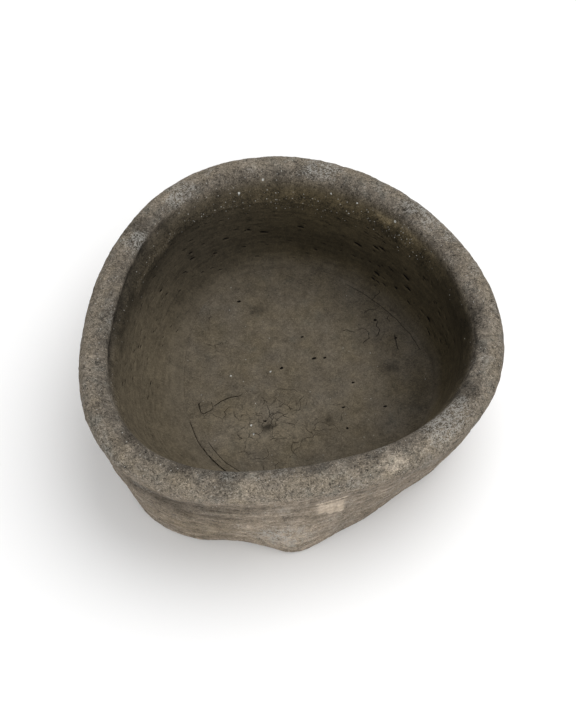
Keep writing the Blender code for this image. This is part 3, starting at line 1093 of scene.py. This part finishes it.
class Nodes:
    """A material's node tree, with short ways to add what the clay needs."""

    def __init__(self, name):
        self.material = bpy.data.materials.new(name)
        self.material.use_nodes = True
        self.tree = self.material.node_tree
        self.shader = self.tree.nodes["Principled BSDF"]
        self.place = self.new("TexCoord").outputs["Object"]

    def new(self, kind):
        return self.tree.nodes.new("ShaderNode" + kind)

    def put(self, value, socket):
        if isinstance(value, bpy.types.NodeSocket):
            self.tree.links.new(value, socket)
        else:
            socket.default_value = value

    def field(self, name, colour=False):
        node = self.new("Attribute")
        node.attribute_name = name
        return node.outputs["Color" if colour else "Fac"]

    def noise(self, size_mm, detail=2.0, roughness=0.55, flatten=1.0):
        """Smooth noise of a size; flattened noise lies in level streaks."""
        node = self.new("TexNoise")
        spot = self.place
        if flatten != 1.0:
            squash = self.new("VectorMath")
            squash.operation = "MULTIPLY"
            self.put(self.place, squash.inputs[0])
            squash.inputs[1].default_value = (1, 1, flatten)
            spot = squash.outputs[0]
        self.put(spot, node.inputs["Vector"])
        node.inputs["Scale"].default_value = 1 / (size_mm * MM)
        node.inputs["Detail"].default_value = detail
        node.inputs["Roughness"].default_value = roughness
        return node.outputs["Fac"]

    def cells(self, size_mm, output="Color"):
        node = self.new("TexVoronoi")
        self.put(self.place, node.inputs["Vector"])
        node.inputs["Scale"].default_value = 1 / (size_mm * MM)
        return node.outputs[output]

    def math(self, operation, first, second=0.0, third=0.0, clamp=False):
        node = self.new("Math")
        node.operation = operation
        node.use_clamp = clamp
        for value, socket in zip((first, second, third), node.inputs):
            self.put(value, socket)
        return node.outputs[0]

    def times(self, first, second):
        return self.math("MULTIPLY", first, second)

    def plus(self, value, factor, rest):
        """The value times the factor, added to the rest."""
        return self.math("MULTIPLY_ADD", value, factor, rest)

    def centred(self, value):
        return self.math("SUBTRACT", value, 0.5)

    def ramp(self, value, low, high, to_low=0.0, to_high=1.0):
        node = self.new("MapRange")
        node.interpolation_type = "SMOOTHSTEP"
        for given, socket in zip((value, low, high, to_low, to_high), node.inputs):
            self.put(given, socket)
        return node.outputs[0]

    def scaled(self, colour, factor):
        node = self.new("VectorMath")
        node.operation = "SCALE"
        self.put(colour, node.inputs[0])
        self.put(factor, node.inputs["Scale"])
        return node.outputs[0]

    def tinged(self, colour, tint):
        node = self.new("VectorMath")
        node.operation = "MULTIPLY"
        self.put(colour, node.inputs[0])
        self.put(tint, node.inputs[1])
        return node.outputs[0]

    def mix(self, factor, first, second):
        node = self.new("Mix")
        node.data_type = "RGBA"
        sockets = [s for s in node.inputs if s.enabled]
        for value, name in ((factor, "Factor"), (first, "A"), (second, "B")):
            socket = next(s for s in sockets if s.name == name)
            self.put(value if isinstance(value, (float, bpy.types.NodeSocket))
                     else (*value, 1.0), socket)
        return next(s for s in node.outputs if s.enabled)


LIME_DUST = (0.31, 0.305, 0.285)
WHITE_GRIT = (0.40, 0.39, 0.36)
DARK_GRIT = (0.035, 0.030, 0.024)
# near black, painted into holes, cracks and crazing as the shade inside them
DEEP = (0.004, 0.003, 0.002)
LUMP_WHITE = (0.46, 0.46, 0.43)


def salt_and_pepper(n, grit, larger):
    """The sandy grain, about 0 on average: pale grains, dark grains and soft clusters."""
    salt = n.ramp(grit.outputs[0], 0.62, 1.0)
    pepper = n.ramp(grit.outputs[0], 0.38, 0.0)
    grain = n.plus(salt, 1.10, n.times(pepper, -0.80))
    big = n.centred(larger.outputs[0])
    grain = n.plus(big, 0.7, grain)
    cluster = n.centred(n.noise(3.4, 2, 0.5))
    return n.plus(cluster, 1.1, grain)


def drag_marks(n):
    """Level streaks left by a wet hand, and the fine dark tears along them, both about 0."""
    soft = n.centred(n.noise(14, 4, 0.65, flatten=10))
    fine = n.centred(n.noise(5, 3, 0.6, flatten=8))
    tear = n.ramp(n.noise(9, 3, 0.7, flatten=11), 0.36, 0.27)
    streaks = n.plus(fine, 0.6, soft)
    return n.times(streaks, n.field("streaky")), n.times(tear, n.field("streaky"))


def crack_lines(n, jitter):
    """1 inside the drawn cracks and slits, 0 outside, with an edge that wavers a little."""
    gap = n.math("ABSOLUTE", n.plus(jitter, 0.30, n.field("crack")))
    width = n.field("crack_width")
    line = n.math("DIVIDE", n.math("SUBTRACT", width, gap), 0.14, clamp=True)
    return n.times(line, n.ramp(width, 0.02, 0.23))


def crazing(n):
    """A net of hair cracks where the surface is crazed."""
    cell = n.new("TexVoronoi")
    cell.feature = "DISTANCE_TO_EDGE"
    bend = n.new("VectorMath")
    bend.operation = "MULTIPLY_ADD"
    wave = n.new("TexNoise")
    n.put(n.place, wave.inputs["Vector"])
    wave.inputs["Scale"].default_value = 1 / (5 * MM)
    wave.inputs["Detail"].default_value = 3
    n.put(wave.outputs["Color"], bend.inputs[0])
    bend.inputs[1].default_value = (5 * MM, 5 * MM, 0)
    n.put(n.place, bend.inputs[2])
    n.put(bend.outputs[0], cell.inputs["Vector"])
    cell.inputs["Scale"].default_value = 1 / (9 * MM)
    net = n.ramp(cell.outputs["Distance"], 0.035, 0.010)
    broken = n.ramp(n.noise(6, 2, 0.6), 0.38, 0.52)
    return n.times(n.times(net, broken), n.field("craze"))


def clay(name, mottle=0.5, contrast=0.6):
    n = Nodes(name)
    grainy = n.field("grainy")
    blotch = n.noise(14, 4, 0.6)
    cloud = n.noise(4.0, 3, 0.6)
    jitter = n.centred(n.noise(1.1, 2, 0.6))
    grit = n.new("SeparateColor")
    n.put(n.cells(0.70), grit.inputs[0])
    larger = n.new("SeparateColor")
    n.put(n.cells(1.5), larger.inputs[0])
    speckle = n.times(salt_and_pepper(n, grit, larger), grainy)
    # brightness of the clay, 1 on average
    bright = n.plus(blotch, mottle * 1.2, 1 - mottle * 0.6)
    bright = n.plus(n.centred(cloud), mottle * 1.3, bright)
    bright = n.plus(speckle, contrast, bright)
    # lighter where the surface stands proud and darker in its dents and chips: painted light and shade
    bright = n.plus(n.field("raised"), 0.22, bright)
    streaks, tears = drag_marks(n)
    bright = n.plus(streaks, 1.0, bright)
    bright = n.plus(tears, -0.55, bright)
    bright = n.math("MAXIMUM", bright, 0.14)
    colour = n.scaled(n.field("tone", colour=True), bright)
    warm = n.plus(n.centred(cloud), 1.2, n.field("hue"))
    colour = n.mix(n.ramp(warm, 0.0, 1.2, 0.0, 0.35), colour, n.tinged(colour, (1.05, 1.0, 0.90)))
    colour = n.mix(n.ramp(warm, 0.0, -1.2, 0.0, 0.6), colour, n.tinged(colour, (0.92, 1.0, 1.06)))
    # lime dusted over the surface, caught on the grains
    dust = n.ramp(n.plus(speckle, 0.35, n.noise(2.4, 3, 0.7)), 0.44, 0.66)
    colour = n.mix(n.times(n.times(dust, n.field("pale")), 0.75),
                   colour, LIME_DUST)
    # single pale and dark grains, of uneven size
    near = n.ramp(n.cells(1.5, "Distance"), 0.36, 0.16)
    pale_one = n.ramp(larger.outputs[1], n.plus(n.field("specky"), -0.07, 1.0), 1.005)
    colour = n.mix(n.times(n.times(pale_one, near), 0.8), colour, WHITE_GRIT)
    dark_one = n.ramp(larger.outputs[2], n.plus(grainy, -0.06, 1.0), 1.005)
    colour = n.mix(n.times(n.times(dark_one, near), 0.75), colour, DARK_GRIT)
    lump = n.times(n.field("lump"), n.plus(jitter, 2.8, 1.0))
    lump = n.ramp(lump, 0.40, 0.75)
    colour = n.mix(n.times(lump, 0.9), colour, LUMP_WHITE)
    # holes, cracks and crazing, painted near black as the shade inside them
    hole = n.ramp(n.plus(jitter, 0.6, n.field("dark")), 0.35, 0.65)
    line = n.math("MAXIMUM", n.math("MAXIMUM", hole, crack_lines(n, jitter)),
                  n.times(crazing(n), 0.60))
    colour = n.mix(line, colour, DEEP)
    lumpy = n.times(n.math("SUBTRACT", 0.5, n.cells(0.75, "Distance")), grainy)
    height = n.plus(lumpy, 0.22, n.times(speckle, 0.10))
    height = n.plus(cloud, 0.25, height)
    height = n.plus(streaks, 0.6, height)
    height = n.plus(tears, -0.25, height)
    height = n.plus(line, -0.5, height)
    bump = n.new("Bump")
    bump.inputs["Strength"].default_value = 1.0
    bump.inputs["Distance"].default_value = MM
    n.put(height, bump.inputs["Height"])
    n.put(colour, n.shader.inputs["Base Color"])
    n.put(n.ramp(cloud, 0.2, 0.8, 0.86, 1.0), n.shader.inputs["Roughness"])
    n.put(bump.outputs[0], n.shader.inputs["Normal"])
    n.shader.inputs["Specular IOR Level"].default_value = 0.10
    return n.material


# ---------------------------------------------------------------- putting it together

def show(name, mesh, material, node, sharp):
    mesh.name = name
    mesh.materials.clear()
    mesh.materials.append(material)
    mesh.shade_smooth()
    mesh.set_sharp_from_angle(angle=math.radians(sharp))
    piece = bpy.data.objects.new(name, mesh)
    bpy.context.scene.collection.objects.link(piece)
    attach(piece, "root")
    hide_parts(node)


def build_pieces():
    mesh, facts = rim_shape()
    paint_rim(mesh, facts)
    show("sandy_lip", mesh, clay("sandy_lip_clay", 0.65, 0.6), "rim_coil", sharp=75)
    mesh, facts = wall_shape()
    paint_wall(mesh, facts)
    show("dragged_wall", mesh, clay("dragged_wall_clay"), "wall_coil", sharp=75)
    mesh = cut_pocket(slab_shape())
    paint_floor(mesh)
    show("cracked_slab", mesh, clay("cracked_slab_clay"), "base_slab", sharp=65)
    mesh = flake_shape()
    paint_floor(mesh)
    show("loose_flake", mesh, clay("loose_flake_clay"), "floor_flake", sharp=50)


def build_stage():
    mesh = bpy.data.meshes.new("studio_floor")
    half = 40 * WIDTH
    mesh.from_pydata([(-half, -half, 0), (half, -half, 0), (half, half, 0), (-half, half, 0)],
                     [], [(0, 1, 2, 3)])
    paper = Nodes("studio_paper")
    tint = paper.ramp(paper.noise(400, 2), 0.3, 0.7, 0.0, 1.0)
    paper.put(paper.mix(tint, (0.88, 0.88, 0.88), (0.90, 0.90, 0.90)),
              paper.shader.inputs["Base Color"])
    paper.shader.inputs["Roughness"].default_value = 1.0
    paper.shader.inputs["Specular IOR Level"].default_value = 0.0
    mesh.materials.append(paper.material)
    floor = bpy.data.objects.new("studio_floor", mesh)
    bpy.context.scene.collection.objects.link(floor)


def area_light(name, spot, aim, size, power):
    data = bpy.data.lights.new(name, "AREA")
    data.shape = "DISK"
    data.size = size
    data.energy = power
    lamp = bpy.data.objects.new(name, data)
    lamp.location = spot
    lamp.rotation_mode = "QUATERNION"
    lamp.rotation_quaternion = (Vector(aim) - Vector(spot)).to_track_quat("-Z", "Y")
    bpy.context.scene.collection.objects.link(lamp)


def build_light():
    world = bpy.data.worlds.new("studio")
    bpy.context.scene.world = world
    world.use_nodes = True
    background = world.node_tree.nodes["Background"]
    background.inputs["Color"].default_value = (1.0, 1.0, 1.0, 1.0)
    background.inputs["Strength"].default_value = 0.62
    middle = (0.0, 0.0, CROWN / 2)
    area_light("key", (0.5, 0.4, 1.35), middle, 1.7, 18)
    area_light("front_fill", (-0.1, -1.6, 0.45), middle, 1.2, 15)


CAMERA_ELEVATION = math.radians(57)      # it looks down from the front
CAMERA_DISTANCE = 1.10
CAMERA_AIM = Vector((-1.3 * MM, -37.6 * MM, CROWN))
CAMERA_LENS = 79.3


def build_camera():
    back = Vector((0, -math.cos(CAMERA_ELEVATION), math.sin(CAMERA_ELEVATION)))
    data = bpy.data.cameras.new("camera")
    data.lens = CAMERA_LENS
    data.sensor_width = 36
    data.clip_start = 0.05
    data.clip_end = 20
    camera = bpy.data.objects.new("camera", data)
    camera.location = CAMERA_AIM + back * CAMERA_DISTANCE
    camera.rotation_mode = "QUATERNION"
    camera.rotation_quaternion = (-back).to_track_quat("-Z", "Y")
    bpy.context.scene.collection.objects.link(camera)
    bpy.context.scene.camera = camera


build_pieces()
build_stage()
build_light()
build_camera()
bpy.context.scene.view_settings.view_transform = "Standard"
bpy.context.view_layer.update()
